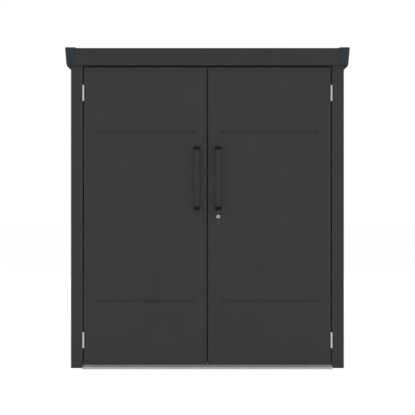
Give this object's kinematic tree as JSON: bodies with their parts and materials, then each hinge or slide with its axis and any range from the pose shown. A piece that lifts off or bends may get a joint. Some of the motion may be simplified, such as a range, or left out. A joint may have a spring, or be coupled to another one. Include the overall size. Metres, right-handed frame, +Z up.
{
  "type": "bicycle locker",
  "caption": "Free-standing steel bicycle locker with a double door, bow handles, rod lock, sill and flat roof with an overhanging rim.",
  "frame": {"origin": "on the ground, in the middle of the body and of the four anchor holes", "axes": "+X to the right of someone facing the doors, +Y from the doors to the back, +Z up"},
  "size_m": [1.2864, 2.0462, 1.45],
  "materials": {
    "anthracite_powder_coat": "fine-textured matt powder coat on folded steel sheet",
    "roof_powder_coat": "fine-textured matt powder coat on folded steel sheet",
    "handle_powder_coat": "satin powder coat on flat bar",
    "cap_moulding": "moulded plastic, blue-grey, lightly grained",
    "mill_aluminium": "mill-finish aluminium, dull",
    "galvanised_steel": "hot-dip galvanised, faint spangle",
    "zinc_plated_steel": "bright zinc plate",
    "stainless_hinge": "turned stainless steel",
    "lock_chrome": "satin chrome plate",
    "seal_rubber": "black EPDM"
  },
  "bodies": {
    "locker_body": {"back_wall_panel_left": "anthracite_powder_coat", "back_wall_panel_right": "anthracite_powder_coat", "door_frame_seals": "seal_rubber", "door_header": "anthracite_powder_coat", "door_stops": "anthracite_powder_coat", "floor_panel_front": "mill_aluminium", "floor_panel_middle": "mill_aluminium", "floor_panel_rear": "mill_aluminium", "front_post_left": "anthracite_powder_coat", "front_post_right": "anthracite_powder_coat", "ground_rail_back": "galvanised_steel", "ground_rail_left": "galvanised_steel", "ground_rail_right": "galvanised_steel", "hinge_frame_leaves": "stainless_hinge", "hinge_pins": "stainless_hinge", "left_wall_panel_front": "anthracite_powder_coat", "left_wall_panel_middle": "anthracite_powder_coat", "left_wall_panel_rear": "anthracite_powder_coat", "rear_post_left": "anthracite_powder_coat", "rear_post_right": "anthracite_powder_coat", "right_wall_panel_front": "anthracite_powder_coat", "right_wall_panel_middle": "anthracite_powder_coat", "right_wall_panel_rear": "anthracite_powder_coat", "roof_beams": "roof_powder_coat", "roof_cap_back_left": "cap_moulding", "roof_cap_back_right": "cap_moulding", "roof_cap_front_left": "cap_moulding", "roof_cap_front_right": "cap_moulding", "roof_panel_front": "roof_powder_coat", "roof_panel_middle": "roof_powder_coat", "roof_panel_rear": "roof_powder_coat", "roof_rail_back": "roof_powder_coat", "roof_rail_front": "roof_powder_coat", "roof_rail_left": "roof_powder_coat", "roof_rail_right": "roof_powder_coat", "threshold_sill": "mill_aluminium", "wall_bolts": "zinc_plated_steel"},
    "left_door": {"left_door_skin": "anthracite_powder_coat", "left_door_stile": "anthracite_powder_coat", "left_door_cross_rail": "anthracite_powder_coat", "left_door_handle": "handle_powder_coat", "left_door_handle_screws": "zinc_plated_steel", "left_hinge_door_leaves": "stainless_hinge", "left_door_bolt_guides": "zinc_plated_steel"},
    "right_door": {"right_door_skin": "anthracite_powder_coat", "right_door_stile": "anthracite_powder_coat", "right_door_cross_rail": "anthracite_powder_coat", "right_door_handle": "handle_powder_coat", "right_door_handle_screws": "zinc_plated_steel", "right_hinge_door_leaves": "stainless_hinge", "lock_barrel": "lock_chrome", "lock_nut": "zinc_plated_steel", "lock_rod_guides": "zinc_plated_steel", "meeting_seal": "seal_rubber"},
    "lock_core": {"lock_plug": "lock_chrome", "lock_cam": "zinc_plated_steel"},
    "top_rod": {"lock_rod_top": "zinc_plated_steel"},
    "bottom_rod": {"lock_rod_bottom": "zinc_plated_steel"},
    "left_top_bolt": {"left_door_top_bolt": "zinc_plated_steel"},
    "left_bottom_bolt": {"left_door_bottom_bolt": "zinc_plated_steel"}
  },
  "joints": [
    {"name": "left_door_hinge", "type": "hinge", "parent": "locker_body", "child": "left_door", "pos_m": [-0.56125, -0.9933, 0.686], "axis": [0, 0, -1], "range_deg": [0, 180]},
    {"name": "right_door_hinge", "type": "hinge", "parent": "locker_body", "child": "right_door", "pos_m": [0.56125, -0.9933, 0.686], "axis": [0, 0, 1], "range_deg": [0, 180]},
    {"name": "lock_turn", "type": "hinge", "parent": "right_door", "child": "lock_core", "pos_m": [0.049, -0.988, 0.686], "axis": [0, -1, 0], "range_deg": [0, 90]},
    {"name": "top_rod_slide", "type": "slide", "parent": "right_door", "child": "top_rod", "axis": [0, 0, 1], "range_m": [0, 0.015]},
    {"name": "bottom_rod_slide", "type": "slide", "parent": "right_door", "child": "bottom_rod", "axis": [0, 0, -1], "range_m": [0, 0.015]},
    {"name": "left_top_bolt_slide", "type": "slide", "parent": "left_door", "child": "left_top_bolt", "axis": [0, 0, 1], "range_m": [0, 0.015]},
    {"name": "left_bottom_bolt_slide", "type": "slide", "parent": "left_door", "child": "left_bottom_bolt", "axis": [0, 0, -1], "range_m": [0, 0.015]}
  ],
  "couplings": [
    {"joint": "lock_turn", "follows": "top_rod_slide", "rad_per_m": 104.72},
    {"joint": "bottom_rod_slide", "follows": "top_rod_slide", "ratio": 1}
  ]
}
